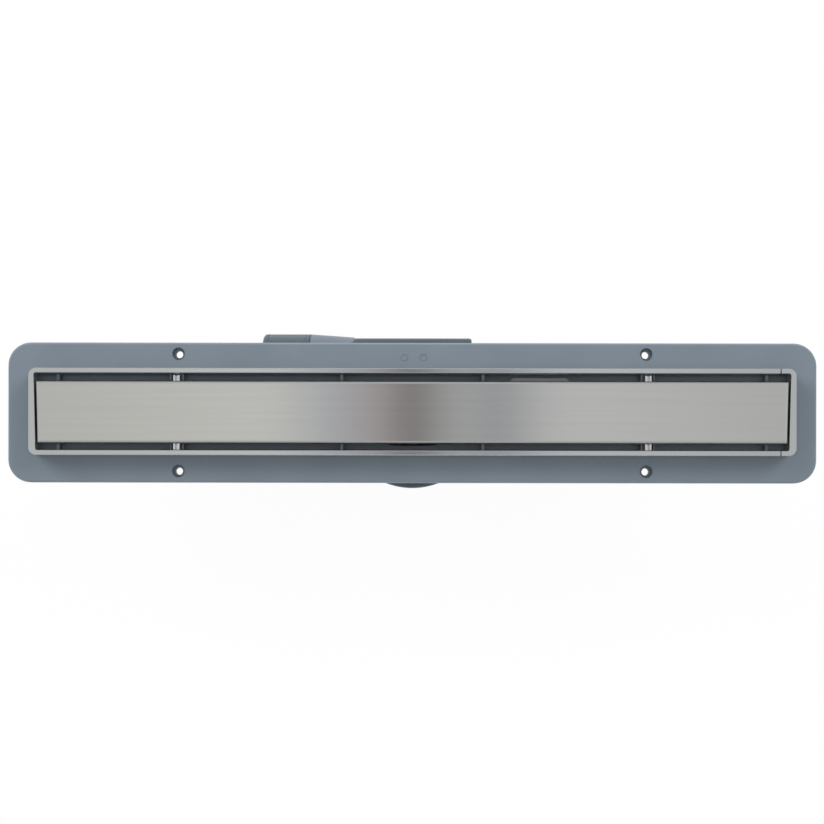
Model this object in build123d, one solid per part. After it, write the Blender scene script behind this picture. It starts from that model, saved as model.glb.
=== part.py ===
from build123d import *
import os

# Linear shower drain: a moulded channel, a steel frame and cover, and a trap with a side outlet.
# Millimetres. +X along the drain, +Y to the outlet side, +Z up.
# The origin is the middle of the screw holes, on the plane that the flange's underside rests on.

# Cover sheet
COVER_LENGTH = 600.0
COVER_WIDTH = 50.0
COVER_SHEET = 1.5
COVER_DEPTH = 6.0
COVER_BEND = 2.8  # outer radius of the folds
COVER_END_SPLAY = 0.6  # how much each end leans inwards from the middle to the front edge
COVER_SHIFT = 0.35  # the cover lies this far to the front in its play

# Frame: a folded section pushed over the upstand
SLOT_WIDTH = 5.75
END_GAP = 1.0
END_FACE = 5.0  # halfway along an end piece
RAIL_FACE = 4.0
RAIL_SHEET = 1.0
RAIL_BEND = 0.8
RAIL_FIT = 0.05  # each side of the upstand
RAIL_FOOT_GAP = 0.3  # between the legs and the flange
FRAME_CORNER = 6.0
MOUTH_CORNER = 1.6
FRAME_RISE = 12.0  # frame top above the flange
END_LEG = 12.0  # length of an end piece along the rails
SEAM_RIGHT = 0.9
SEAM_LEFT = 0.0

# Crossbars and their seats
BAR_SPACING = 378.0
BAR_WIDTH = 5.0
BAR_SHEET = 1.4
BAR_BEND = 1.6
BAR_END_PLAY = 1.0  # at each end, to the rail's inner leg
SEAT_RIB = 1.2
SEAT_RIB_SPACING = 10.0
SEAT_REACH = 7.8  # how far seats and ribs stand out from the trough's side
SEAT_SHELF = 3.0
RIB_RISE = 3.5  # ribs above the seat
RIB_CHAMFER = 1.5
SIDE_RIB = 2.4
SIDE_RIB_PLACES = (56.7, 284.5)

# Flange
FLANGE_LENGTH = 652.0
FLANGE_WIDTH = 113.0
FLANGE_CORNER = 18.5
FLANGE_DEPTH = 9.0
FLANGE_SKIN = 3.0
FLANGE_EDGE = 2.0
SKIRT = 2.5
FLANGE_RIB = 2.0
FLANGE_RIB_PITCH = 62.8
FLANGE_RIB_PAIRS = 5
END_RIB_SPACING = 36.0

# Screw holes
HOLE_SPACING_X = 377.0
HOLE_SPACING_Y = 94.4
HOLE_DIAMETER = 5.8
CUP_DIAMETER = 10.2
CUP_FLOOR = 3.7
BOSS_DIAMETER = 14.0

# Trough and well
TROUGH_WALL = 2.5
TROUGH_END_DEPTH = 4.0  # floor below the flange's top, at the ends
TROUGH_MID_DEPTH = 9.0
TROUGH_ROUND = 3.0
WELL_LENGTH = 76.0
WELL_WIDTH = 52.4
WELL_DEPTH = 22.0
WELL_MARGIN = 6.0  # level floor past the well, each end
WELL_PAD_RADIUS = 36.0  # round underside that the trap seals on
PAD_LENGTH = 50.0
PAD_WIDTH = 20.0
PAD_HEIGHT = 2.0
PAD_PLACE = (103.0, 19.0)

# Waste flange and its seals: it screws into the trap and clamps the well's floor between them
WASTE_FIT = 0.3  # round the waste flange, in the well
WASTE_LIP = 2.5
WASTE_THREAD_RADIUS = 24.0
WASTE_WALL = 2.0
WASTE_LENGTH = 17.0
WASTE_SEAL = 1.5
GASKET_THICKNESS = 2.5
GASKET_WIDTH = 9.0
THREAD_FIT = 0.25

# Trap collar: the disc, its neck in the trap's roof and the thread for the waste flange
DISC_RADIUS = 60.3
DISC_THICKNESS = 4.0
DISC_EDGE = 1.2
NECK_RADIUS = 36.0
NECK_WALL = 3.0
NECK_FIT = 0.2
COLLAR_WALL = 3.0
COLLAR_LENGTH = 12.0
GUSSETS = 12
GUSSET_THICKNESS = 2.5

# Trap body
TRAP_HALF_WIDTH = 50.0
TRAP_BACK = 66.0
TRAP_CORNER = 2.2
TRAP_INNER_CORNER = 0.6  # the least, inside
TRAP_WALL = 2.5
TRAP_ROUND = 2.0
TRAP_HEIGHT = 54.0
ROOF_DROP = 9.0  # trap's roof below the disc

# Trap base: the pan that closes the trap and holds the inner cup
BASE_THICKNESS = 2.5
BASE_RIM = 2.0
BASE_RIM_HEIGHT = 6.0
BASE_EDGE = 2.0
LOCATING_RIB = 2.0
LOCATING_HEIGHT = 4.0
LOCATING_FIT = 0.3
CUP_RADIUS = 33.0
CUP_WALL = 2.0
CUP_HEIGHT = 50.0

# Dip tube, its ring and the strainer
TUBE_FIT = 0.3
TUBE_WALL = 1.8
TUBE_GAP = 10.0  # under the lower end
TUBE_RIM_RADIUS = 24.5
TUBE_RIM = 2.0
RING_SECTION = 1.2
RING_GROOVE_WIDTH = 1.8
RING_BELOW_RIM = 8.0
RING_FIT = 0.05
BAIL_THICKNESS = 3.0
BAIL_HEIGHT = 6.0
BAIL_BELOW_RIM = 14.0
STRAINER_RIM = 2.0
STRAINER_DEPTH = 9.0
STRAINER_WALL = 1.6
STRAINER_FIT = 0.4
STRAINER_SLOTS = 10
STRAINER_SLOT_LENGTH = 8.0
STRAINER_SLOT_WIDTH = 2.6
STRAINER_SLOT_RING = 11.0  # radius of the slots' middles
KNOB_RADIUS = 3.5
KNOB_HEIGHT = 7.0

# Outlet
OUTLET_Y = 40.6
OUTLET_DROP = 26.0  # axis below the trap's roof
SPOUT_FOOT_RADIUS = 29.0
SPOUT_FOOT_HALF_HEIGHT = 24.0  # flats, above and below
SPOUT_WALL = 2.5
SPOUT_BORE = 24.0
SPOUT_END = 86.5  # from the middle of the drain
PLUG_RADIUS = 21.5  # the plug in the trap's side
PLUG_FIT = 0.2
PIPE_BORE = 25.25
PIPE_STOP = 7.0  # from the spout's shoulder to the pipe's stop
OUTLET_THREAD_RADIUS = 28.5
OUTLET_THREAD_LENGTH = 30.0
NUT_RADIUS = 31.5
NUT_LENGTH = 39.5
NUT_GAP = 0.5
NUT_END_WALL = 3.5
NUT_CHAMFER = 1.5
NUT_MOUTH_FIT = 0.4
NUT_RIBS = 8
NUT_RIB_WIDTH = 3.0
NUT_RIB_DEPTH = 0.6
NUT_PLAIN_END = 4.0
SLIP_RING = 2.0

# Heights
flange_top = FLANGE_DEPTH
frame_top = flange_top + FRAME_RISE
seat_top = flange_top
bar_height = FRAME_RISE - COVER_DEPTH
floor_end = flange_top - TROUGH_END_DEPTH
floor_mid = flange_top - TROUGH_MID_DEPTH
well_floor = floor_mid - WELL_DEPTH
well_bottom = well_floor - TROUGH_WALL
lip_low = well_floor + WASTE_SEAL
lip_top = lip_low + WASTE_LIP
disc_top = well_bottom - GASKET_THICKNESS
disc_low = disc_top - DISC_THICKNESS
roof_top = disc_top - ROOF_DROP
trap_joint = roof_top - TRAP_HEIGHT
base_low = trap_joint - BASE_RIM_HEIGHT
base_floor = base_low + BASE_THICKNESS
outlet_z = roof_top - OUTLET_DROP

# Plan sizes, from the cover outwards
frame_length = COVER_LENGTH + 2 * (END_GAP + END_FACE)
frame_width = COVER_WIDTH + 2 * (SLOT_WIDTH + RAIL_FACE)
upstand_inset = RAIL_SHEET + RAIL_FIT
trough_inset = RAIL_FACE - RAIL_SHEET - RAIL_FIT
trough_half_length = frame_length / 2 - trough_inset
trough_half_width = frame_width / 2 - trough_inset
trough_reach = trough_half_length + TROUGH_WALL
trough_level = WELL_LENGTH / 2 + WELL_MARGIN
rail_inner = frame_width / 2 - RAIL_FACE

# The outlet's own plane: its Z runs out along the pipe, to -X
OUTLET = Plane(origin=(0, OUTLET_Y, outlet_z), x_dir=(0, 1, 0), z_dir=(-1, 0, 0))


def prism(face, low, high):
    """A face drawn flat, pulled up from one height to another."""
    return extrude(Pos(0, 0, low) * face, amount=high - low)


def tube(outer, inner, low, high):
    """A plain ring about Z."""
    return prism(Circle(outer) - Circle(inner), low, high)


def turned(points):
    """A solid turned about Z from its half section, given as radius and height."""
    section = make_face(Polyline(points, close=True))
    return revolve(Plane.XZ * section, Axis.Z)


def frame_plan(inset):
    """The frame's outline, moved inwards."""
    return RectangleRounded(frame_length - 2 * inset, frame_width - 2 * inset, FRAME_CORNER - inset)


def leaning_plan(length, width):
    """A rectangle whose ends lean in towards the front edge, as the cover's do."""
    lean = COVER_END_SPLAY * width / COVER_WIDTH
    back, front = length / 2 + lean, length / 2 - lean
    side = width / 2
    return make_face(Polyline((-front, -side), (front, -side), (back, side), (-back, side), close=True))


def mouth_plan(grow):
    """The frame's inner outline, moved outwards: its ends follow the cover's."""
    plan = leaning_plan(COVER_LENGTH + 2 * (END_GAP + grow), 2 * (rail_inner + grow))
    return fillet(plan.vertices(), MOUTH_CORNER + grow)


def cover_plan(inset):
    """The cover's outline, moved inwards."""
    return leaning_plan(COVER_LENGTH - 2 * inset, COVER_WIDTH - 2 * inset)


def trough(half_width, end_z, mid_z, bottom_round, top):
    """The trough's form: a round-bottomed channel that falls from both ends to a level middle."""
    sections = []
    for x, low in (
        (-trough_reach, end_z),
        (-trough_level, mid_z),
        (trough_level, mid_z),
        (trough_reach, end_z),
    ):
        section = Pos(0, (low + top) / 2) * Rectangle(2 * half_width, top - low)
        section = fillet(section.vertices().group_by(Axis.Y)[0], bottom_round)
        sections.append(Plane.YZ.offset(x) * section)
    return loft(sections, ruled=True)


def both_sides(solid):
    """A solid and its mirror image across the drain."""
    return [solid, mirror(solid, Plane.XZ)]


def rib_section():
    """A rib's outline on the trough's side: clear of the rail's leg, and cut back below for the water."""
    wall = trough_half_width + TROUGH_WALL
    tip = trough_half_width - SEAT_REACH
    clear = rail_inner - BAR_END_PLAY / 2
    top = seat_top + RIB_RISE
    low = floor_mid
    foot = trough_half_width - SEAT_REACH / 2
    return make_face(
        Polyline(
            (wall, low),
            (wall, seat_top),
            (clear, seat_top),
            (clear, top),
            (tip + RIB_CHAMFER, top),
            (tip, top - RIB_CHAMFER),
            (tip, seat_top - SEAT_SHELF),
            (foot, floor_end - SEAT_SHELF),
            (foot, low),
            close=True,
        )
    )


def side_rib(x, thickness):
    """A rib across the drain, on the +Y side of the trough."""
    return extrude(Plane.YZ.offset(x) * rib_section(), amount=thickness / 2, both=True)


def trough_fittings():
    """What stands in the trough: crossbar seats, each between two ribs, the single ribs and a bare pad."""
    fittings = []
    wall = trough_half_width + TROUGH_WALL
    for side in (-1, 1):
        bar_x = side * BAR_SPACING / 2
        shelf_width = SEAT_REACH + TROUGH_WALL
        shelf = Pos(bar_x, wall - shelf_width / 2, seat_top - SEAT_SHELF / 2) * Box(
            SEAT_RIB_SPACING, shelf_width, SEAT_SHELF
        )
        fittings += both_sides(shelf)
        for rib_side in (-1, 1):
            fittings += both_sides(side_rib(bar_x + rib_side * SEAT_RIB_SPACING / 2, SEAT_RIB))
        for place in SIDE_RIB_PLACES:
            fittings += both_sides(side_rib(side * place, SIDE_RIB))
    slope = (floor_end - floor_mid) / (trough_reach - trough_level)
    pad_top = floor_mid + slope * (PAD_PLACE[0] - trough_level) + PAD_HEIGHT
    pad_plan = RectangleRounded(PAD_LENGTH, PAD_WIDTH, PAD_WIDTH / 4)
    pad = prism(Pos(*PAD_PLACE) * pad_plan, floor_mid, pad_top)
    fittings.append(pad)
    return fittings


def flange():
    """The flange: a shallow upside-down tray with ribs and screw bosses under it."""
    plan = RectangleRounded(FLANGE_LENGTH, FLANGE_WIDTH, FLANGE_CORNER)
    body = prism(plan, 0, flange_top)
    body = fillet(body.faces().sort_by(Axis.Z)[-1].edges(), FLANGE_EDGE)
    inside = RectangleRounded(FLANGE_LENGTH - 2 * SKIRT, FLANGE_WIDTH - 2 * SKIRT, FLANGE_CORNER - SKIRT)
    ribs = Sketch()
    rib_width = FLANGE_WIDTH - SKIRT
    for index in range(FLANGE_RIB_PAIRS):
        for side in (-1, 1):
            ribs += Pos(side * (index + 0.5) * FLANGE_RIB_PITCH, 0) * Rectangle(FLANGE_RIB, rib_width)
    for y in (-END_RIB_SPACING / 2, END_RIB_SPACING / 2):
        ribs += Pos(0, y) * Rectangle(FLANGE_LENGTH - SKIRT, FLANGE_RIB)
    bosses = Sketch() + [place * Circle(BOSS_DIAMETER / 2) for place in screw_places()]
    return body - prism(inside - ribs - bosses, 0, flange_top - FLANGE_SKIN)


def screw_places():
    """Where the four screw holes are."""
    return GridLocations(HOLE_SPACING_X, HOLE_SPACING_Y, 2, 2)


def channel_body():
    """The moulding: flange, upstand, trough and well."""
    top = frame_top - RAIL_SHEET
    plan_inset = trough_inset - TROUGH_WALL
    hull_low = floor_mid - TROUGH_WALL
    hull = trough(
        trough_half_width + TROUGH_WALL,
        floor_end - TROUGH_WALL,
        hull_low,
        TROUGH_ROUND + TROUGH_WALL,
        flange_top,
    )
    hull &= prism(frame_plan(plan_inset), hull_low, flange_top)
    body = flange() + hull
    body += prism(frame_plan(upstand_inset), flange_top - FLANGE_SKIN, top)
    well_wall = 2 * TROUGH_WALL
    body += prism(SlotOverall(WELL_LENGTH + well_wall, WELL_WIDTH + well_wall), well_bottom, floor_mid)
    body += prism(Circle(WELL_PAD_RADIUS), well_bottom, well_floor)
    cavity = trough(trough_half_width, floor_end, floor_mid, TROUGH_ROUND, top)
    cavity &= prism(frame_plan(trough_inset), floor_mid, top)
    for fitting in trough_fittings():
        cavity -= fitting
    body -= cavity
    body -= prism(SlotOverall(WELL_LENGTH, WELL_WIDTH), well_floor, floor_mid + TROUGH_ROUND)
    body -= prism(Circle(WASTE_THREAD_RADIUS + THREAD_FIT), well_bottom, well_floor)
    for place in screw_places():
        body -= prism(place * Circle(HOLE_DIAMETER / 2), 0, flange_top)
        body -= prism(place * Circle(CUP_DIAMETER / 2), CUP_FLOOR, flange_top)
    return body


def frame_ring():
    """The whole frame as one ring: a flat face with a leg turned down on each side."""
    foot = flange_top + RAIL_FOOT_GAP
    ring = prism(frame_plan(0) - mouth_plan(0), foot, frame_top)
    ring = fillet(ring.faces().sort_by(Axis.Z)[-1].edges(), RAIL_BEND)
    groove = frame_plan(RAIL_SHEET) - mouth_plan(RAIL_SHEET)
    return ring - prism(groove, foot, frame_top - RAIL_SHEET)


def frame_pieces():
    """The frame cut into two rails and two end pieces."""
    ring = frame_ring()
    end_x = frame_length / 2 - END_LEG
    left, right = -end_x, end_x - SEAM_RIGHT
    rail_left = left + SEAM_LEFT
    slab = Pos((rail_left + right) / 2, frame_width / 4, frame_top / 2) * Box(
        right - rail_left, frame_width / 2, 2 * frame_top
    )
    end = Pos(frame_length / 2 - END_LEG / 2, 0, frame_top / 2) * Box(END_LEG, frame_width, 2 * frame_top)
    return {
        "frame_rail_front": ring & mirror(slab, Plane.XZ),
        "frame_rail_back": ring & slab,
        "frame_end_left": ring & mirror(end, Plane.YZ),
        "frame_end_right": ring & end,
    }


def cover_plate():
    """The cover: one sheet folded down along its four edges."""
    low = frame_top - COVER_DEPTH
    outside = prism(cover_plan(0), low, frame_top)
    outside = fillet(outside.faces().sort_by(Axis.Z)[-1].edges(), COVER_BEND)
    inside = prism(cover_plan(COVER_SHEET), low, frame_top - COVER_SHEET)
    inside = fillet(inside.faces().sort_by(Axis.Z)[-1].edges(), COVER_BEND - COVER_SHEET)
    return Pos(0, -COVER_SHIFT) * (outside - inside)


def crossbar(x):
    """A folded bar across the trough, open above: the cover lies on the edges of its two legs."""
    length = 2 * (rail_inner - BAR_END_PLAY)
    outline = Pos(0, bar_height / 2) * Rectangle(BAR_WIDTH, bar_height)
    outline = fillet(outline.vertices().group_by(Axis.Y)[0], BAR_BEND)
    hollow_middle = (bar_height + BAR_SHEET) / 2
    hollow = Pos(0, hollow_middle) * Rectangle(BAR_WIDTH - 2 * BAR_SHEET, bar_height - BAR_SHEET)
    hollow = fillet(hollow.vertices().group_by(Axis.Y)[0], BAR_BEND - BAR_SHEET)
    bar = extrude(Plane.XZ * (outline - hollow), amount=length / 2, both=True)
    return Pos(x, -COVER_SHIFT, seat_top) * bar


def waste_flange():
    """The threaded flange in the well that clamps the channel to the trap."""
    bore = WASTE_THREAD_RADIUS - WASTE_WALL
    lip = WELL_WIDTH / 2 - WASTE_FIT
    return turned(
        [
            (bore, lip_top - WASTE_LENGTH),
            (WASTE_THREAD_RADIUS, lip_top - WASTE_LENGTH),
            (WASTE_THREAD_RADIUS, lip_low),
            (lip, lip_low),
            (lip, lip_top),
            (bore, lip_top),
        ]
    )


def well_seals():
    """The thin seal under the waste flange's lip, and the gasket between the well and the trap."""
    hole = WASTE_THREAD_RADIUS + THREAD_FIT
    return {
        "waste_seal": tube(WELL_WIDTH / 2 - WASTE_FIT, hole, well_floor, lip_low),
        "trap_gasket": tube(hole + GASKET_WIDTH, hole, disc_top, well_bottom),
    }


def tube_radius():
    """Outer radius of the dip tube, which slides in the waste flange."""
    return WASTE_THREAD_RADIUS - WASTE_WALL - TUBE_FIT


def ring_radius():
    """Middle radius of the dip tube's ring, which bears on the waste flange's bore."""
    return tube_radius() + TUBE_FIT - RING_FIT - RING_SECTION / 2


def dip_tube():
    """The lift-out tube: a rim on the waste flange, a groove for its ring and a bail to pull it by."""
    outer = tube_radius()
    inner = outer - TUBE_WALL
    rim_top = lip_top + TUBE_RIM
    low = base_floor + TUBE_GAP
    groove_top = lip_top - RING_BELOW_RIM + RING_GROOVE_WIDTH / 2
    groove_low = groove_top - RING_GROOVE_WIDTH
    groove = ring_radius() - RING_SECTION / 2 - RING_FIT
    body = turned(
        [
            (inner, low),
            (outer, low),
            (outer, groove_low),
            (groove, groove_low),
            (groove, groove_top),
            (outer, groove_top),
            (outer, lip_top),
            (TUBE_RIM_RADIUS, lip_top),
            (TUBE_RIM_RADIUS, rim_top),
            (inner, rim_top),
        ]
    )
    bail_top = rim_top - BAIL_BELOW_RIM
    bail = prism(Rectangle(2 * inner + TUBE_WALL, BAIL_THICKNESS), bail_top - BAIL_HEIGHT, bail_top)
    return body + bail


def dip_tube_seal():
    """The square rubber ring in the dip tube's groove."""
    middle = lip_top - RING_BELOW_RIM
    half = RING_SECTION / 2
    return tube(ring_radius() + half, ring_radius() - half, middle - half, middle + half)


def hair_strainer():
    """A small basket with a pull knob, seated on the dip tube's rim."""
    rim_low = lip_top + TUBE_RIM
    rim_top = rim_low + STRAINER_RIM
    low = rim_top - STRAINER_DEPTH
    outer = tube_radius() - TUBE_WALL - STRAINER_FIT
    inner = outer - STRAINER_WALL
    floor = low + STRAINER_WALL
    basket = turned(
        [
            (0, low),
            (outer, low),
            (outer, rim_low),
            (TUBE_RIM_RADIUS, rim_low),
            (TUBE_RIM_RADIUS, rim_top),
            (inner, rim_top),
            (inner, floor),
            (KNOB_RADIUS, floor),
            (KNOB_RADIUS, low + KNOB_HEIGHT),
            (0, low + KNOB_HEIGHT),
        ]
    )
    slot = Rectangle(STRAINER_SLOT_LENGTH, STRAINER_SLOT_WIDTH)
    for place in PolarLocations(STRAINER_SLOT_RING, STRAINER_SLOTS):
        basket -= prism(place * slot, low, floor)
    return basket


def trap_plan(grow):
    """The trap's outline: a round front and a square back with rounded corners."""
    half = TRAP_HALF_WIDTH + grow
    back = TRAP_BACK + grow
    plan = Pos(0, back / 2) * Rectangle(2 * half, back) + Circle(half)
    return fillet(plan.vertices().group_by(Axis.Y)[-1], max(TRAP_CORNER + grow, TRAP_INNER_CORNER))


def gusset():
    """A web under the disc, from its edge in to the neck and down to the trap's roof."""
    section = make_face(
        Polyline(
            (NECK_RADIUS - NECK_WALL / 2, disc_low),
            (DISC_RADIUS - DISC_THICKNESS, disc_low),
            (TRAP_HALF_WIDTH - TRAP_ROUND, roof_top),
            (NECK_RADIUS - NECK_WALL / 2, roof_top),
            close=True,
        )
    )
    return extrude(Plane.XZ * section, amount=GUSSET_THICKNESS / 2, both=True)


def trap_collar():
    """The collar on the trap: a disc on webs, a neck set in the trap's roof and a threaded ring."""
    disc = prism(Circle(DISC_RADIUS), disc_low, disc_top)
    collar = fillet(disc.faces().sort_by(Axis.Z)[-1].edges(), DISC_EDGE)
    collar += tube(NECK_RADIUS, NECK_RADIUS - NECK_WALL, roof_top - TRAP_WALL, disc_low)
    web = gusset()
    for index in range(GUSSETS):
        collar += Rot(0, 0, (index + 0.5) * 360 / GUSSETS) * web
    hole = WASTE_THREAD_RADIUS + THREAD_FIT
    collar += prism(Circle(hole + COLLAR_WALL), disc_top - COLLAR_LENGTH, disc_low)
    return collar - prism(Circle(hole), disc_top - COLLAR_LENGTH, disc_top)


def trap_body():
    """The trap: a box that is open below, with a hole in its roof and one in its side."""
    body = prism(trap_plan(0), trap_joint, roof_top)
    body = fillet(body.faces().sort_by(Axis.Z)[-1].edges(), TRAP_ROUND)
    body += prism(trap_plan(BASE_RIM), trap_joint, trap_joint + BASE_RIM)
    body -= prism(trap_plan(-TRAP_WALL), trap_joint, roof_top - TRAP_WALL)
    body -= prism(Circle(NECK_RADIUS + NECK_FIT), roof_top - TRAP_WALL, roof_top)
    side_hole = prism(Circle(PLUG_RADIUS + PLUG_FIT), TRAP_HALF_WIDTH - TRAP_WALL, TRAP_HALF_WIDTH)
    return body - OUTLET * side_hole


def outlet_spout():
    """The outlet's spout: a plug in the trap's side, a taper to a round shoulder, and the nut's thread."""
    thread_end = SPOUT_END + OUTLET_THREAD_LENGTH
    pipe_stop = SPOUT_END + PIPE_STOP
    web_end = TRAP_HALF_WIDTH + SPOUT_WALL
    plug_bore = PLUG_RADIUS - SPOUT_WALL
    spout = turned(
        [
            (plug_bore, TRAP_HALF_WIDTH - TRAP_WALL),
            (PLUG_RADIUS, TRAP_HALF_WIDTH - TRAP_WALL),
            (PLUG_RADIUS, TRAP_HALF_WIDTH),
            (SPOUT_FOOT_RADIUS, TRAP_HALF_WIDTH),
            (NUT_RADIUS, SPOUT_END),
            (OUTLET_THREAD_RADIUS, SPOUT_END),
            (OUTLET_THREAD_RADIUS, thread_end),
            (PIPE_BORE, thread_end),
            (PIPE_BORE, pipe_stop),
            (SPOUT_BORE, pipe_stop),
            (SPOUT_BORE, SPOUT_END),
            (SPOUT_FOOT_HALF_HEIGHT - SPOUT_WALL, web_end),
            (plug_bore, web_end),
        ]
    )
    flat = make_face(
        Polyline(
            (SPOUT_FOOT_HALF_HEIGHT, TRAP_HALF_WIDTH),
            (NUT_RADIUS, SPOUT_END),
            (NUT_RADIUS, TRAP_HALF_WIDTH),
            close=True,
        )
    )
    for cut in both_sides(extrude(Plane.YZ * flat, amount=NUT_RADIUS, both=True)):
        spout -= cut
    return OUTLET * spout


def trap_base():
    """The pan under the trap: its floor, a rib that locates it and the cup that holds the water."""
    pan = prism(trap_plan(BASE_RIM), base_low, trap_joint)
    pan = fillet(pan.faces().sort_by(Axis.Z)[0].edges(), BASE_EDGE)
    pan -= prism(trap_plan(-TRAP_WALL - LOCATING_FIT - LOCATING_RIB), base_floor, trap_joint)
    outside = -TRAP_WALL - LOCATING_FIT
    rib = trap_plan(outside) - trap_plan(outside - LOCATING_RIB)
    pan += prism(rib, trap_joint, trap_joint + LOCATING_HEIGHT)
    return pan + tube(CUP_RADIUS + CUP_WALL, CUP_RADIUS, base_floor, base_floor + CUP_HEIGHT)


def outlet_nut():
    """The outlet's ring nut, ribbed for grip, with a plain rim at each end."""
    low = SPOUT_END + NUT_GAP
    high = low + NUT_LENGTH
    thread = OUTLET_THREAD_RADIUS + THREAD_FIT
    root = NUT_RADIUS - NUT_RIB_DEPTH
    mouth = PIPE_BORE + NUT_MOUTH_FIT
    nut = turned(
        [
            (thread, low),
            (NUT_RADIUS, low),
            (NUT_RADIUS, low + NUT_PLAIN_END),
            (root, low + NUT_PLAIN_END),
            (root, high - NUT_PLAIN_END),
            (NUT_RADIUS, high - NUT_PLAIN_END),
            (NUT_RADIUS, high - NUT_CHAMFER),
            (NUT_RADIUS - NUT_CHAMFER, high),
            (mouth, high),
            (mouth, high - NUT_END_WALL),
            (thread, high - NUT_END_WALL),
        ]
    )
    grips = Sketch()
    for place in PolarLocations(root, NUT_RIBS):
        grips += place * Rectangle(2 * NUT_RIB_DEPTH, NUT_RIB_WIDTH)
    grips &= Circle(NUT_RADIUS)
    return OUTLET * (nut + prism(grips, low + NUT_PLAIN_END, high - NUT_PLAIN_END))


def outlet_packing():
    """The rubber seal and the slip ring that the outlet nut squeezes on the pipe."""
    high = SPOUT_END + NUT_GAP + NUT_LENGTH - NUT_END_WALL
    middle = high - SLIP_RING
    low = SPOUT_END + OUTLET_THREAD_LENGTH
    outer = OUTLET_THREAD_RADIUS
    inner = PIPE_BORE
    return {
        "outlet_slip_ring": OUTLET * tube(outer, inner, middle, high),
        "outlet_seal": OUTLET * tube(outer, inner, low, middle),
    }


def main():
    """Build every piece and write each to its own file."""
    pieces = {
        "channel_body": channel_body(),
        "cover_plate": cover_plate(),
        "crossbar_left": crossbar(-BAR_SPACING / 2),
        "crossbar_right": crossbar(BAR_SPACING / 2),
        "waste_flange": waste_flange(),
        "dip_tube": dip_tube(),
        "dip_tube_seal": dip_tube_seal(),
        "hair_strainer": hair_strainer(),
        "trap_collar": trap_collar(),
        "trap_body": trap_body(),
        "trap_base": trap_base(),
        "outlet_spout": outlet_spout(),
        "outlet_nut": outlet_nut(),
    }
    pieces.update(frame_pieces())
    pieces.update(well_seals())
    pieces.update(outlet_packing())
    os.makedirs("parts", exist_ok=True)
    for name, solid in pieces.items():
        export_step(solid, f"parts/{name}.step")


main()
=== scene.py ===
"""Looks of a linear shower drain: its finishes, fine marks, bare plate, studio light and camera.

Lengths are in metres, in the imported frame: +X along the drain, +Y to the outlet's side, +Z up.
"""

import logging
import math
from dataclasses import dataclass
from enum import Enum

import bmesh
import bpy
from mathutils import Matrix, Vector


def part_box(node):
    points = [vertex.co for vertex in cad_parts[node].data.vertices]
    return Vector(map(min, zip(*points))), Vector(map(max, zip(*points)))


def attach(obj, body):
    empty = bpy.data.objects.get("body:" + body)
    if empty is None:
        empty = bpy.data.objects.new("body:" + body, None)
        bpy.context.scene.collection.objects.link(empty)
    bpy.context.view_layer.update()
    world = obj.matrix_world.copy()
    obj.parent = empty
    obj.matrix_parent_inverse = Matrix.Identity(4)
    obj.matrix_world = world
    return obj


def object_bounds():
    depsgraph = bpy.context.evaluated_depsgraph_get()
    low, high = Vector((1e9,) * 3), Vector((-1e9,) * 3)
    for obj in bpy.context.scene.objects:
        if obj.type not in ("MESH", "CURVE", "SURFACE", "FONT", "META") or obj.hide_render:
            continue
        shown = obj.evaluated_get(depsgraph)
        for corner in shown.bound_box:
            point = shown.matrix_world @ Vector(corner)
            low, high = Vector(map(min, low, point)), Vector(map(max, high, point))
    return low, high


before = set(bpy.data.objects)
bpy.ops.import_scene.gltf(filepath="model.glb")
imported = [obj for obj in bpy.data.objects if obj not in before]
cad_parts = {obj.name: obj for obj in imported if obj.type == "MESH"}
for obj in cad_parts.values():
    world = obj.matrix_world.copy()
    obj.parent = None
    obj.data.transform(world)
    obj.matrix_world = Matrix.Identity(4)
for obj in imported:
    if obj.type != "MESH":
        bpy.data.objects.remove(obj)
cad_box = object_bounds()

log = logging.getLogger("drain")

Colour = tuple[float, float, float]
Point = tuple[float, float, float]
RampStops = tuple[tuple[float, Colour], ...]

BODY = "root"
WHITE = (1.0, 1.0, 1.0, 1.0)

# Nearly all of a noise texture lies between these values.
NOISE_LOW = 0.3
NOISE_HIGH = 0.7


class Grain(Enum):
    """The way a steel piece was brushed, by the axis that its fine grooves run along."""

    ALONG = "X"
    ACROSS = "Y"


class Slot(Enum):
    """The record's material slots that the added pieces belong to; the script gives no piece one."""

    MOULDED = "moulded_plastic"
    INNER = "inner_plastic"


class Tint(Enum):
    """Slight casts of the light that parts of the studio give."""

    PLAIN = (1.0, 1.0, 1.0)
    CREAM = (1.0, 1.0, 0.96)
    COOL = (0.965, 1.0, 1.1)
    WARM = (1.16, 1.0, 0.98)


Stops = tuple[tuple[float, float, Tint], ...]


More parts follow.
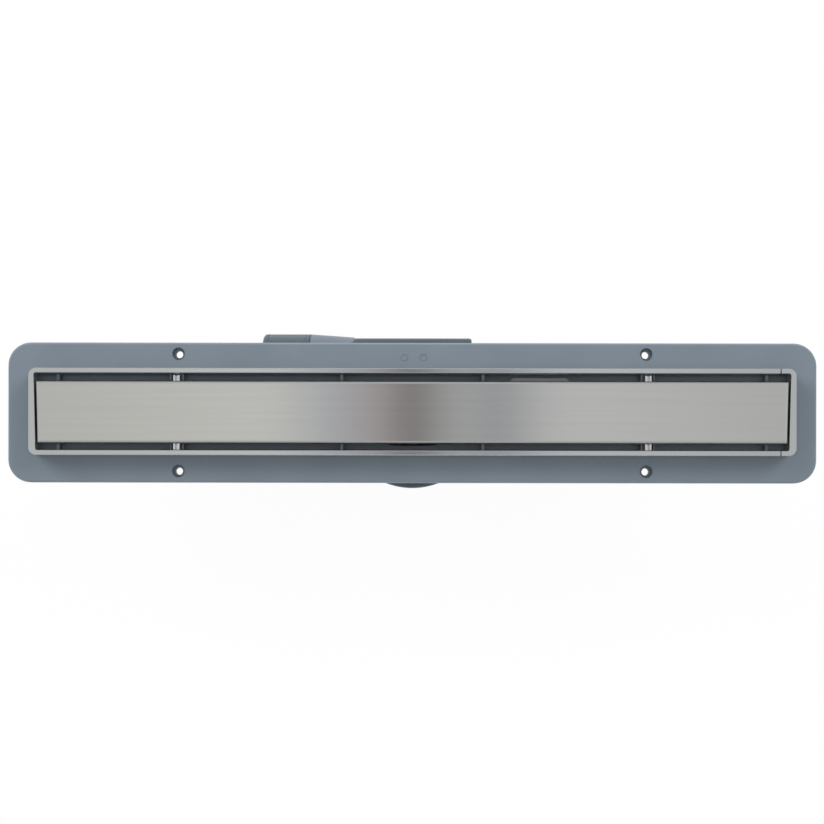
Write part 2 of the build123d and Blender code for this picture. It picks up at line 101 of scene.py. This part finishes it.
class NodeSheet:
    """A node tree, with a short call that adds a node and joins it."""

    def __init__(self, tree: bpy.types.NodeTree) -> None:
        """Start from an empty tree."""
        self.tree = tree
        tree.nodes.clear()

    def add(self, kind: str, inputs: dict | None = None, **settings: object) -> bpy.types.Node:
        """Add a node to the tree.

        Args:
            kind: Blender's name for the node, less its "ShaderNode" prefix.
            inputs: What its sockets get, by name or place: a value, or a socket to join.
            settings: Properties of the node itself.

        Returns:
            The new node.
        """
        node = self.tree.nodes.new("ShaderNode" + kind)
        for name, value in settings.items():
            setattr(node, name, value)
        for key, value in (inputs or {}).items():
            if isinstance(value, bpy.types.NodeSocket):
                self.tree.links.new(value, node.inputs[key])
            else:
                node.inputs[key].default_value = value
        return node

    def ramp(self, value: bpy.types.NodeSocket, stops: RampStops) -> bpy.types.NodeSocket:
        """Turn a value into a colour by a row of stops.

        Args:
            value: The socket that gives the value.
            stops: Pairs of a place from 0 to 1 and the colour there.

        Returns:
            The socket that gives the colour.
        """
        node = self.add("ValToRGB", {"Fac": value})
        elements = node.color_ramp.elements
        while len(elements) < len(stops):
            elements.new(1.0)
        for element, (place, colour) in zip(elements, stops):
            element.position = place
            element.color = (*colour, 1.0)
        return node.outputs["Color"]

    def noise(self, place: bpy.types.NodeSocket, size: float, detail: float) -> bpy.types.NodeSocket:
        """Add a noise texture.

        Args:
            place: The socket that gives the place on the piece.
            size: How large the noise's patches are.
            detail: How many finer layers it has.

        Returns:
            The socket that gives the noise.
        """
        node = self.add("TexNoise", {"Vector": place, "Scale": 1 / size, "Detail": detail})
        return node.outputs["Fac"]

    def spread(self, value: bpy.types.NodeSocket, low: float, high: float) -> bpy.types.NodeSocket:
        """Spread a noise between two limits.

        Args:
            value: The socket that gives the noise.
            low: The result where the noise is low.
            high: The result where it is high.

        Returns:
            The socket that gives the result.
        """
        limits = {"From Min": NOISE_LOW, "From Max": NOISE_HIGH, "To Min": low, "To Max": high}
        return self.add("MapRange", {"Value": value, **limits}).outputs["Result"]


def shade(colour: Colour, factor: float) -> Colour:
    """A colour made lighter or darker by a factor."""
    return tuple(min(1.0, part * factor) for part in colour)


def lit_stops(stops: Stops, first: float, last: float) -> RampStops:
    """Turn a room's stops into those of a colour ramp.

    Args:
        stops: A place, the light there and its tint, in turn.
        first: The place that becomes 0.
        last: The place that becomes 1.

    Returns:
        Pairs of a place from 0 to 1 and a colour.
    """
    span = last - first
    return tuple(((place - first) / span, shade(tint.value, light)) for place, light, tint in stops)


def new_material(name: str) -> bpy.types.Material:
    """Make an empty material that uses nodes.

    Args:
        name: The material's name.

    Returns:
        The new material.
    """
    material = bpy.data.materials.new(name)
    material.use_nodes = True
    return material


@dataclass(frozen=True)
class MouldedPlastic:
    """A satin moulded plastic, with the fine spark texture of its mould and faint flow clouds.

    The colour is linear. Sizes are those of the texture's grains and clouds, and of the round
    that sharp edges seem to have.
    """

    name: str
    colour: Colour
    roughness: float = 0.42
    roughness_spread: float = 0.05
    grain_size: float = 0.0006
    grain_depth: float = 0.00003
    grain_detail: float = 2.0
    grain_strength: float = 0.6
    cloud_size: float = 0.05
    cloud_share: float = 0.05
    cloud_detail: float = 4.0
    edge_radius: float = 0.0004
    edge_samples: int = 6

    def material(self) -> bpy.types.Material:
        """Make the material.

        Returns:
            The new material.
        """
        material = new_material(self.name)
        sheet = NodeSheet(material.node_tree)
        place = sheet.add("TexCoord").outputs["Object"]
        cloud = sheet.noise(place, self.cloud_size, self.cloud_detail)
        grain = sheet.noise(place, self.grain_size, self.grain_detail)
        dark = shade(self.colour, 1 - self.cloud_share)
        light = shade(self.colour, 1 + self.cloud_share)
        rough, spread = self.roughness, self.roughness_spread
        edges = sheet.add("Bevel", {"Radius": self.edge_radius}, samples=self.edge_samples)
        bump = sheet.add(
            "Bump",
            {
                "Height": grain,
                "Distance": self.grain_depth,
                "Strength": self.grain_strength,
                "Normal": edges.outputs["Normal"],
            },
        )
        shader = sheet.add(
            "BsdfPrincipled",
            {
                "Base Color": sheet.ramp(cloud, ((NOISE_LOW, dark), (NOISE_HIGH, light))),
                "Roughness": sheet.spread(grain, rough - spread, rough + spread),
                "Normal": bump.outputs["Normal"],
            },
        )
        sheet.add("OutputMaterial", {"Surface": shader.outputs["BSDF"]})
        return material


@dataclass(frozen=True)
class BrushedSteel:
    """Stainless sheet with brush strokes one way.

    Strokes are long, fine grooves. They vary the gloss and colour a little, and they stretch
    highlights across themselves.
    """

    name: str
    grain: Grain
    colour: Colour = (0.68, 0.684, 0.668)
    roughness: float = 0.19
    roughness_spread: float = 0.02
    anisotropy: float = 1.0
    stroke_length: float = 0.16
    stroke_width: float = 0.0003
    stroke_depth: float = 0.000006
    stroke_detail: float = 3.0
    stroke_strength: float = 0.5
    band_width: float = 0.004
    band_share: float = 0.015

    def strokes(
        self, sheet: NodeSheet, place: bpy.types.NodeSocket, width: float
    ) -> bpy.types.NodeSocket:
        """Draw a noise out along the grain.

        Args:
            sheet: The tree that the nodes go in.
            place: The socket that gives the place on the piece.
            width: How wide a stroke is.

        Returns:
            The socket that gives the noise.
        """
        along, across = 1 / self.stroke_length, 1 / width
        scale = (along, across, across) if self.grain is Grain.ALONG else (across, along, across)
        drawn = sheet.add("Mapping", {"Vector": place, "Scale": scale})
        return sheet.noise(drawn.outputs["Vector"], 1.0, self.stroke_detail)

    def material(self) -> bpy.types.Material:
        """Make the material.

        Returns:
            The new material.
        """
        material = new_material(self.name)
        sheet = NodeSheet(material.node_tree)
        place = sheet.add("TexCoord").outputs["Object"]
        fine = self.strokes(sheet, place, self.stroke_width)
        bands = self.strokes(sheet, place, self.band_width)
        grooves = {"Height": fine, "Distance": self.stroke_depth, "Strength": self.stroke_strength}
        bump = sheet.add("Bump", grooves)
        tangent = sheet.add("Tangent", direction_type="RADIAL", axis=self.grain.value)
        dark = shade(self.colour, 1 - self.band_share)
        light = shade(self.colour, 1 + self.band_share)
        rough, spread = self.roughness, self.roughness_spread
        shader = sheet.add(
            "BsdfPrincipled",
            {
                "Base Color": sheet.ramp(bands, ((NOISE_LOW, dark), (NOISE_HIGH, light))),
                "Metallic": 1.0,
                "Roughness": sheet.spread(fine, rough - spread, rough + spread),
                "Anisotropic": self.anisotropy,
                "Tangent": tangent.outputs["Tangent"],
                "Normal": bump.outputs["Normal"],
            },
        )
        sheet.add("OutputMaterial", {"Surface": shader.outputs["BSDF"]})
        return material


@dataclass(frozen=True)
class SealRubber:
    """Black rubber with a dull bloom."""

    name: str
    colour: Colour = (0.022, 0.022, 0.023)
    roughness: tuple[float, float] = (0.55, 0.75)
    bloom: float = 1.6
    bloom_size: float = 0.006
    bloom_detail: float = 5.0
    bloom_from: float = 0.35

    def material(self) -> bpy.types.Material:
        """Make the material.

        Returns:
            The new material.
        """
        material = new_material(self.name)
        sheet = NodeSheet(material.node_tree)
        place = sheet.add("TexCoord").outputs["Object"]
        patch = sheet.noise(place, self.bloom_size, self.bloom_detail)
        bloomed = shade(self.colour, self.bloom)
        shader = sheet.add(
            "BsdfPrincipled",
            {
                "Base Color": sheet.ramp(patch, ((self.bloom_from, self.colour), (NOISE_HIGH, bloomed))),
                "Roughness": sheet.spread(patch, *self.roughness),
            },
        )
        sheet.add("OutputMaterial", {"Surface": shader.outputs["BSDF"]})
        return material


Finish = MouldedPlastic | BrushedSteel | SealRubber

BLUE_GREY = MouldedPlastic("blue_grey_plastic", (0.163, 0.2, 0.237))
# Painted shade: the collar's, spout's, trap's and nut's plastics are the blue-grey plastic darkened for
# the shade under the flange.
COLLAR_SHADED_GREY = MouldedPlastic("collar_plastic_painted_shade", (0.111, 0.135, 0.163), cloud_size=0.03)
SPOUT_SHADED_GREY = MouldedPlastic("spout_plastic_painted_shade", (0.102, 0.126, 0.155), cloud_size=0.03)
TRAP_SHADED_GREY = MouldedPlastic("trap_plastic_painted_shade", (0.1, 0.121, 0.139), cloud_size=0.03)
NUT_SHADED_GREY = MouldedPlastic("nut_plastic_painted_shade", (0.039, 0.062, 0.078), cloud_size=0.03)
PALE_GREY = MouldedPlastic("pale_grey_plastic", (0.5, 0.51, 0.5), roughness=0.38)
PLATE_GREY = MouldedPlastic("plate_grey_plastic", (0.49, 0.5, 0.555), roughness=0.5, cloud_size=0.01)
COVER_STEEL = BrushedSteel("cover_steel", Grain.ALONG)
RAIL_STEEL = BrushedSteel("rail_steel", Grain.ALONG, colour=(0.648, 0.67, 0.682))
END_STEEL = BrushedSteel("end_steel", Grain.ACROSS, colour=(0.672, 0.69, 0.692))
# Painted highlight: the crossbars' steel is a lighter copy of the stainless, for the light that their
# edges catch.
CROSSBAR_HIGHLIT_STEEL = BrushedSteel("crossbar_steel_painted_highlight", Grain.ACROSS, colour=(0.85, 0.855, 0.845))
BLACK_RUBBER = SealRubber("black_rubber")


class Palette:
    """The finishes' materials, each made once."""

    def __init__(self) -> None:
        """Start with no material made."""
        self.made: dict[str, bpy.types.Material] = {}

    def of(self, finish: Finish) -> bpy.types.Material:
        """The material of a finish.

        Args:
            finish: The finish that a piece has.

        Returns:
            Its material, made at the first call.
        """
        if finish.name not in self.made:
            self.made[finish.name] = finish.material()
        return self.made[finish.name]


class SubAssembly:
    """Pieces that go together on the bench. Each kind lists its solids and builds its fine pieces."""

    finishes: dict[str, Finish] = {}

    def dress(self, palette: Palette) -> list[bpy.types.Object]:
        """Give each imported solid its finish.

        Args:
            palette: The materials.

        Returns:
            The solids' objects.
        """
        dressed = []
        for node, finish in self.finishes.items():
            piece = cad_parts[node]
            piece.data.materials.clear()
            piece.data.materials.append(palette.of(finish))
            dressed.append(piece)
        return dressed

    def build(self, palette: Palette) -> list[bpy.types.Object]:
        """Build the pieces that the solids lack: none, unless a kind of sub-assembly says otherwise."""
        return []


def mesh_piece(
    name: str, shape: bmesh.types.BMesh, material: bpy.types.Material
) -> bpy.types.Object:
    """Turn a mesh into a piece that rides with the drain.

    Args:
        name: The piece's name.
        shape: The mesh, which is used up.
        material: Its material.

    Returns:
        The new object.
    """
    mesh = bpy.data.meshes.new(name)
    bmesh.ops.recalc_face_normals(shape, faces=shape.faces)
    shape.to_mesh(mesh)
    shape.free()
    mesh.materials.append(material)
    piece = bpy.data.objects.new(name, mesh)
    bpy.context.scene.collection.objects.link(piece)
    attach(piece, BODY)
    return piece


@dataclass
class Channel(SubAssembly):
    """The moulded channel, with the round marks that ejector pins leave on its flange.

    A thin bare plate lies on the pad in its trough. pad_place is the middle of the pad's top.
    """

    mark_x: tuple[float, float] = (-0.0065, 0.0088)
    mark_y: float = 0.0448
    mark_radius: float = 0.0026
    mark_width: float = 0.0007
    mark_height: float = 0.0002
    mark_steps: int = 48
    pad_place: Point = (0.103, 0.019, 0.00313)
    plate_length: float = 0.049
    plate_width: float = 0.019
    plate_corner: float = 0.0045
    plate_corner_steps: int = 8
    plate_thickness: float = 0.0003
    plate_edge: float = 0.0001

    def __post_init__(self) -> None:
        """List the solids."""
        self.finishes = {"channel_body": BLUE_GREY}

    def ring(self, x: float) -> bmesh.types.BMesh:
        """One pin mark: a low ring on the flange.

        Args:
            x: Where its middle is along the drain.

        Returns:
            The ring's mesh.
        """
        # The crossbars stand on seats that are level with the flange.
        flange_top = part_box("crossbar_left")[0].z
        half = self.mark_width / 2
        rise = self.mark_height
        profile = ((-half, 0.0), (-half / 2, rise), (half / 2, rise), (half, 0.0))
        shape = bmesh.new()
        loops = []
        for step in range(self.mark_steps):
            angle = 2 * math.pi * step / self.mark_steps
            loop = []
            for offset, height in profile:
                reach = self.mark_radius + offset
                along, across = reach * math.cos(angle), reach * math.sin(angle)
                loop.append(shape.verts.new((x + along, self.mark_y + across, flange_top + height)))
            loops.append(loop)
        for step, loop in enumerate(loops):
            following = loops[(step + 1) % self.mark_steps]
            for index in range(len(profile)):
                other = (index + 1) % len(profile)
                shape.faces.new((loop[index], loop[other], following[other], following[index]))
        return shape

    def plate_row(self, inset: float) -> list[tuple[float, float]]:
        """Trace the plate's outline, seen from above.

        Args:
            inset: How far the outline is moved inwards.

        Returns:
            Points round the outline, from the middle of the plate.
        """
        radius = self.plate_corner - inset
        reach_x = self.plate_length / 2 - self.plate_corner
        reach_y = self.plate_width / 2 - self.plate_corner
        points = []
        for turn, (side_x, side_y) in enumerate(((1, 1), (-1, 1), (-1, -1), (1, -1))):
            for step in range(self.plate_corner_steps + 1):
                angle = (turn + step / self.plate_corner_steps) * math.pi / 2
                x = side_x * reach_x + radius * math.cos(angle)
                y = side_y * reach_y + radius * math.sin(angle)
                points.append((x, y))
        return points

    def plate(self) -> bmesh.types.BMesh:
        """Shape the plate: a thin sheet with round corners and a broken upper edge.

        Returns:
            The plate's mesh.
        """
        middle_x, middle_y, low = self.pad_place
        edge, top = self.plate_edge, self.plate_thickness
        shape = bmesh.new()
        rows = []
        for inset, rise in ((0.0, 0.0), (0.0, top - edge), (edge, top)):
            row = self.plate_row(inset)
            rows.append([shape.verts.new((middle_x + x, middle_y + y, low + rise)) for x, y in row])
        for lower, upper in zip(rows, rows[1:]):
            for index in range(len(lower)):
                before = index - 1
                shape.faces.new((lower[before], lower[index], upper[index], upper[before]))
        shape.faces.new(rows[0])
        shape.faces.new(rows[-1])
        return shape

    def build(self, palette: Palette) -> list[bpy.types.Object]:
        """Build the pin marks and the plate.

        Args:
            palette: The materials.

        Returns:
            The new objects.
        """
        plastic = palette.of(BLUE_GREY)
        pieces = []
        for number, x in enumerate(self.mark_x, start=1):
            pieces.append(mesh_piece(f"pin_mark_{number}", self.ring(x), plastic))
        pieces.append(mesh_piece("pad_plate", self.plate(), palette.of(PLATE_GREY)))
        return pieces


@dataclass
class SteelFrame(SubAssembly):
    """The frame round the mouth: two rails and two end pieces."""

    def __post_init__(self) -> None:
        """List the solids."""
        self.finishes = {
            "frame_rail_front": RAIL_STEEL,
            "frame_rail_back": RAIL_STEEL,
            "frame_end_left": END_STEEL,
            "frame_end_right": END_STEEL,
        }


@dataclass
class Cover(SubAssembly):
    """The cover and the two bars that it lies on."""

    def __post_init__(self) -> None:
        """List the solids."""
        self.finishes = {
            "cover_plate": COVER_STEEL,
            "crossbar_left": CROSSBAR_HIGHLIT_STEEL,
            "crossbar_right": CROSSBAR_HIGHLIT_STEEL,
        }


@dataclass
class WasteSet(SubAssembly):
    """What fills the well: the waste flange, its seals, the dip tube and the strainer."""

    def __post_init__(self) -> None:
        """List the solids."""
        self.finishes = {
            # Painted shade: the waste flange gets the darkened nut plastic because all that shows of it
            # lies in the slot's shade.
            "waste_flange": NUT_SHADED_GREY,
            "waste_seal": BLACK_RUBBER,
            "trap_gasket": BLACK_RUBBER,
            "dip_tube": PALE_GREY,
            "dip_tube_seal": BLACK_RUBBER,
            "hair_strainer": PALE_GREY,
        }


@dataclass
class Trap(SubAssembly):
    """The trap: its collar, body and base."""

    def __post_init__(self) -> None:
        """List the solids."""
        self.finishes = {
            "trap_collar": COLLAR_SHADED_GREY,
            "trap_body": TRAP_SHADED_GREY,
            "trap_base": TRAP_SHADED_GREY,
        }


@dataclass
class Outlet(SubAssembly):
    """The outlet: its spout, its nut and what the nut squeezes on the pipe."""

    def __post_init__(self) -> None:
        """List the solids."""
        self.finishes = {
            "outlet_spout": SPOUT_SHADED_GREY,
            "outlet_nut": NUT_SHADED_GREY,
            "outlet_seal": BLACK_RUBBER,
            "outlet_slip_ring": PALE_GREY,
        }


@dataclass(frozen=True)
class SoftBox:
    """A large soft lamp that is turned towards the drain. Shiny surfaces don't mirror it."""

    name: str
    place: Point
    width: float
    depth: float
    watts: float
    aim: Point = (0.0, 0.0, 0.0)

    def build(self) -> bpy.types.Object:
        """Make the lamp.

        Returns:
            The lamp's object.
        """
        lamp = bpy.data.lights.new(self.name, "AREA")
        lamp.shape = "RECTANGLE"
        lamp.size = self.width
        lamp.size_y = self.depth
        lamp.energy = self.watts
        placed = bpy.data.objects.new(self.name, lamp)
        placed.location = self.place
        direction = Vector(self.aim) - Vector(self.place)
        placed.rotation_euler = direction.to_track_quat("-Z", "Y").to_euler()
        placed.visible_camera = False
        placed.visible_glossy = False
        bpy.context.scene.collection.objects.link(placed)
        return placed


@dataclass(frozen=True)
class Room:
    """The studio round the drain: walls that are darkest in front, and a ceiling with a gap in it.

    The walls' light is given from front to back. A direction's slope is how far it leans to the
    right for each step up, and the ceiling's light is given by that slope, so the gap runs from
    front to back, right above the drain. A direction counts as rising by least_rise or more.
    The camera itself sees plain white past the floor's edge.
    """

    walls: Stops = ((0.1, 0.48, Tint.PLAIN), (0.5, 0.66, Tint.PLAIN), (0.8, 0.58, Tint.PLAIN))
    wall_top: float = 0.78
    ceiling_low: float = 0.92
    widest_slope: float = 0.4
    least_rise: float = 0.05
    ceiling: Stops = (
        (-0.3, 0.64, Tint.CREAM),
        (-0.11, 0.75, Tint.CREAM),
        (-0.055, 0.5, Tint.COOL),
        (-0.02, 0.43, Tint.WARM),
        (0.0, 0.02, Tint.PLAIN),
        (0.02, 0.39, Tint.PLAIN),
        (0.04, 0.58, Tint.PLAIN),
        (0.07, 0.33, Tint.COOL),
        (0.115, 0.69, Tint.PLAIN),
        (0.3, 0.58, Tint.PLAIN),
    )

    def build(self) -> bpy.types.World:
        """Make the world and use it.

        Returns:
            The new world.
        """
        world = bpy.data.worlds.new("studio")
        world.use_nodes = True
        sheet = NodeSheet(world.node_tree)
        direction = sheet.add("TexCoord").outputs["Generated"]
        parts = sheet.add("SeparateXYZ", {"Vector": direction})
        rise = sheet.add("Math", {0: parts.outputs["Z"], 1: self.least_rise}, operation="MAXIMUM")
        slope = sheet.add("Math", {0: parts.outputs["X"], 1: rise.outputs[0]}, operation="DIVIDE")
        widest = self.widest_slope
        reach = {"From Min": -widest, "From Max": widest}
        across = sheet.add("MapRange", {"Value": slope.outputs[0], **reach})
        panels = sheet.ramp(across.outputs["Result"], lit_stops(self.ceiling, -widest, widest))
        backward = sheet.add("MapRange", {"Value": parts.outputs["Y"], "From Min": -1.0})
        walls = sheet.ramp(backward.outputs["Result"], lit_stops(self.walls, 0.0, 1.0))
        height = sheet.add(
            "MapRange",
            {"Value": parts.outputs["Z"], "From Min": self.wall_top, "From Max": self.ceiling_low},
            interpolation_type="SMOOTHSTEP",
        )
        room = sheet.add("MixRGB", {"Fac": height.outputs["Result"], "Color1": walls, "Color2": panels})
        seen = sheet.add("LightPath").outputs["Is Camera Ray"]
        mixed = sheet.add("MixRGB", {"Fac": seen, "Color1": room.outputs["Color"], "Color2": WHITE})
        light = sheet.add("Background", {"Color": mixed.outputs["Color"], "Strength": 1.0})
        sheet.add("OutputWorld", {"Surface": light.outputs["Background"]})
        bpy.context.scene.world = world
        return world


@dataclass(frozen=True)
class Floor:
    """A plain white floor. To the camera and in reflections most of it shines white by itself.

    Far from the drain all of it does, so that no line shows where it ends.
    """

    half_size: float = 30.0
    below: float = 0.0003
    colour: Colour = (0.9, 0.9, 0.9)
    own_light: float = 0.95
    fade_from: float = 1.5
    fade_to: float = 8.0

    def material(self) -> bpy.types.Material:
        """Make the floor's material.

        Returns:
            The new material.
        """
        material = new_material("white_floor")
        sheet = NodeSheet(material.node_tree)
        ray = sheet.add("LightPath").outputs
        direct = {0: ray["Is Camera Ray"], 1: ray["Is Glossy Ray"]}
        seen = sheet.add("Math", direct, operation="MAXIMUM").outputs[0]
        through = {0: seen, 1: ray["Is Transmission Ray"]}
        seen = sheet.add("Math", through, operation="MAXIMUM").outputs[0]
        place = sheet.add("TexCoord").outputs["Object"]
        reach = sheet.add("VectorMath", {0: place}, operation="LENGTH").outputs["Value"]
        own = sheet.add(
            "MapRange",
            {
                "Value": reach,
                "From Min": self.fade_from,
                "From Max": self.fade_to,
                "To Min": self.own_light,
                "To Max": 1.0,
            },
        )
        share = sheet.add("Math", {0: seen, 1: own.outputs["Result"]}, operation="MULTIPLY").outputs[0]
        matt = sheet.add("BsdfDiffuse", {"Color": (*self.colour, 1.0)}).outputs["BSDF"]
        glow = sheet.add("Emission", {"Color": WHITE, "Strength": 1.0}).outputs["Emission"]
        mixed = sheet.add("MixShader", {0: share, 1: matt, 2: glow})
        sheet.add("OutputMaterial", {"Surface": mixed.outputs["Shader"]})
        return material

    def build(self, height: float) -> bpy.types.Object:
        """Lay the floor.

        Args:
            height: The drain's lowest point.

        Returns:
            The floor's object.
        """
        shape = bmesh.new()
        half = self.half_size
        corners = ((-half, -half, 0.0), (half, -half, 0.0), (half, half, 0.0), (-half, half, 0.0))
        shape.faces.new([shape.verts.new(corner) for corner in corners])
        mesh = bpy.data.meshes.new("floor")
        shape.to_mesh(mesh)
        shape.free()
        mesh.materials.append(self.material())
        floor = bpy.data.objects.new("floor", mesh)
        floor.location = (0.0, 0.0, height - self.below)
        bpy.context.scene.collection.objects.link(floor)
        return floor


@dataclass(frozen=True)
class PhotoCamera:
    """The camera, which looks straight down from a little in front of the drain's middle."""

    place: Point = (-0.0019, -0.0706, 1.021)
    turn_deg: float = 0.09
    lens_mm: float = 54.88
    sensor_mm: float = 36.0
    shift: tuple[float, float] = (0.0026, 0.1073)

    def build(self) -> bpy.types.Object:
        """Make the camera and use it.

        Returns:
            The camera's object.
        """
        lens = bpy.data.cameras.new("photo_camera")
        lens.lens = self.lens_mm
        lens.sensor_width = self.sensor_mm
        lens.shift_x, lens.shift_y = self.shift
        camera = bpy.data.objects.new("photo_camera", lens)
        camera.location = self.place
        camera.rotation_euler = (0.0, 0.0, math.radians(self.turn_deg))
        bpy.context.scene.collection.objects.link(camera)
        bpy.context.scene.camera = camera
        return camera


LAMPS = (
    SoftBox("left_light", place=(-5.4, 4.2, 2.2), width=4.0, depth=4.4, watts=505.0),
    SoftBox("right_light", place=(5.4, 4.2, 2.2), width=4.0, depth=4.4, watts=420.0),
    SoftBox("front_light", place=(0.0, -4.0, 0.15), width=4.0, depth=0.5, watts=62.0),
    SoftBox("top_light", place=(0.0, 0.0, 1.3), width=1.2, depth=0.5, watts=1.8),
)


def main() -> None:
    """Light and frame the drain, give its solids their finishes and add its fine pieces."""
    logging.basicConfig(level=logging.INFO, format="%(name)s: %(message)s")
    bpy.context.scene.view_settings.view_transform = "Standard"
    PhotoCamera().build()
    Room().build()
    for lamp in LAMPS:
        lamp.build()
    Floor().build(cad_box[0].z)
    palette = Palette()
    for group in (Channel(), SteelFrame(), Cover(), WasteSet(), Trap(), Outlet()):
        kind = type(group).__name__
        for piece in group.dress(palette):
            log.info("%s: dressed %s", kind, piece.name)
        for piece in group.build(palette):
            log.info("%s: built %s", kind, piece.name)


if __name__ == "__main__":
    main()
